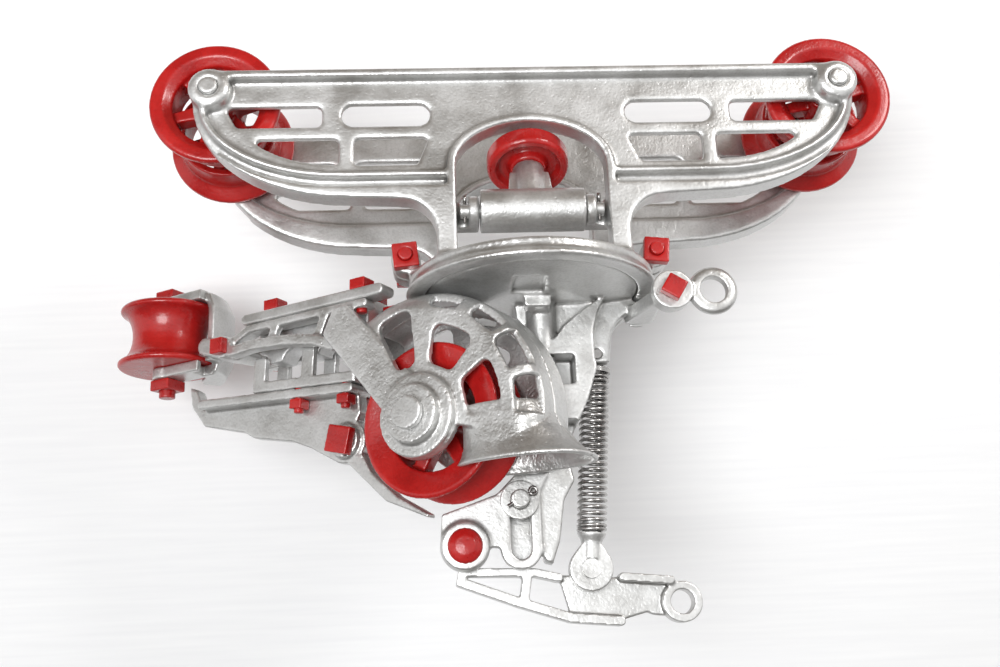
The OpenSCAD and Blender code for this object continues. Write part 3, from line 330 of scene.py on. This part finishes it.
facing = Matrix.Rotation(math.radians(-2.91), 3, "Z") @ Matrix.Rotation(math.radians(17.11), 3, "X")
facing = facing @ Matrix.Rotation(math.radians(2.30), 3, "Y")
look = facing @ Vector((0, 1, 0))
board_distance = 0.235
board_half = 4
board_paint = bpy.data.materials.new("white board paint")
board_paint.use_nodes = True
tree = board_paint.node_tree
shader = tree.nodes["Principled BSDF"]
shader.inputs["Roughness"].default_value = 0.6
shader.inputs["Emission Color"].default_value = (1, 1, 1, 1)
shader.inputs["Emission Strength"].default_value = 0.09
place = add(tree, "ShaderNodeTexCoord", (-6, 0))
stretch = add(tree, "ShaderNodeMapping", (-5, 0))
stretch.inputs["Scale"].default_value = (2.2, 1.0, 60.0)
brushed = add(tree, "ShaderNodeTexNoise", (-4, 0), Scale=3.0, Detail=4.0)
white = ramp(tree, (-2, 0), [(0.3, (0.80, 0.805, 0.815)), (0.7, (0.84, 0.845, 0.85))])
behind = add(tree, "ShaderNodeNewGeometry", (-1, 1))
tree.links.new(place.outputs["Object"], stretch.inputs["Vector"])
tree.links.new(stretch.outputs["Vector"], brushed.inputs["Vector"])
tree.links.new(brushed.outputs["Fac"], white.inputs["Fac"])
tree.links.new(white.outputs["Color"], shader.inputs["Base Color"])
clear_where(tree, shader, behind.outputs["Backfacing"])
corners = [look * board_distance + facing @ (Vector((x, 0, z)) * board_half)
           for x, z in ((-1, -1), (1, -1), (1, 1), (-1, 1))]
board_piece = sheet("board", corners, board_paint)


def card(name, low, high, level, color):
    dull = bpy.data.materials.new(name)
    dull.use_nodes = True
    tree = dull.node_tree
    shader = tree.nodes["Principled BSDF"]
    shader.inputs["Base Color"].default_value = (*color, 1)
    shader.inputs["Roughness"].default_value = 0.9
    shader.inputs["Specular IOR Level"].default_value = 0.0
    shader.inputs["Emission Color"].default_value = (*color, 1)
    shader.inputs["Emission Strength"].default_value = 0.5
    seen = add(tree, "ShaderNodeLightPath", (-1, 1))
    clear_where(tree, shader, seen.outputs["Is Camera Ray"])
    corners = ((low[0], low[1]), (high[0], low[1]), (high[0], high[1]), (low[0], high[1]))
    made = sheet(name, [(x, y, level) for x, y in corners], dull)


def lamp(name, place, target, size, power, color):
    data = bpy.data.lights.new(name, "AREA")
    data.shape = "DISK"
    data.size = size
    data.energy = power
    data.color = color
    made = bpy.data.objects.new(name, data)
    bpy.context.collection.objects.link(made)
    made.location = place
    made.rotation_euler = (Vector(target) - Vector(place)).to_track_quat("-Z", "Y").to_euler()


card("ceiling", (-5, -3.2), (5, 2.0), 1.15, (0.13, 0.10, 0.075))
card("floor", (-5, -2.4), (5, 2.0), -1.5, (0.16, 0.155, 0.15))
lamp("window", (1.4, -1.6, 0.8), (0, 0, -0.1), 0.7, 22, (1.0, 0.99, 0.98))
lamp("doorway", (-0.75, -2.0, -0.6), (0, 0, -0.2), 1.2, 37, (0.98, 0.99, 1.0))
world = bpy.data.worlds.new("room")
bpy.context.scene.world = world
world.use_nodes = True
tree = world.node_tree
far = tree.nodes["Background"]
far.inputs["Color"].default_value = (1, 1, 1, 1)
far.inputs["Strength"].default_value = 0.75
plain = add(tree, "ShaderNodeBackground", (-1, 1))
plain.inputs["Color"].default_value = (1, 1, 1, 1)
plain.inputs["Strength"].default_value = 1.0
path_kind = add(tree, "ShaderNodeLightPath", (-3, -1))
mirrored = add(tree, "ShaderNodeMath", (-2, -1), operation="MAXIMUM")
seen = add(tree, "ShaderNodeMath", (-1, -1), operation="MAXIMUM")
choice = add(tree, "ShaderNodeMixShader", (1, 0))
link = tree.links.new
link(path_kind.outputs["Is Glossy Ray"], mirrored.inputs[0])
link(path_kind.outputs["Is Transmission Ray"], mirrored.inputs[1])
link(path_kind.outputs["Is Camera Ray"], seen.inputs[0])
link(mirrored.outputs[0], seen.inputs[1])
link(seen.outputs[0], choice.inputs["Fac"])
link(far.outputs["Background"], choice.inputs[1])
link(plain.outputs["Background"], choice.inputs[2])
link(choice.outputs["Shader"], tree.nodes["World Output"].inputs["Surface"])


# Camera.
# It stands low before the part and looks up along it, square to the board, so that the
# underside of the turntable shows.
view = bpy.data.cameras.new("camera")
view.sensor_width = 36
view.lens = 39.6
view.dof.use_dof = False
camera = bpy.data.objects.new("camera", view)
bpy.context.collection.objects.link(camera)
turn = Matrix.Identity(4)
for row in range(3):
    turn[row][0] = facing[row][0]
    turn[row][1] = facing[row][2]
    turn[row][2] = -facing[row][1]
turn.translation = (-0.075, -0.91125, -0.439)
camera.matrix_world = turn
bpy.context.scene.camera = camera
bpy.context.scene.view_settings.view_transform = "Standard"
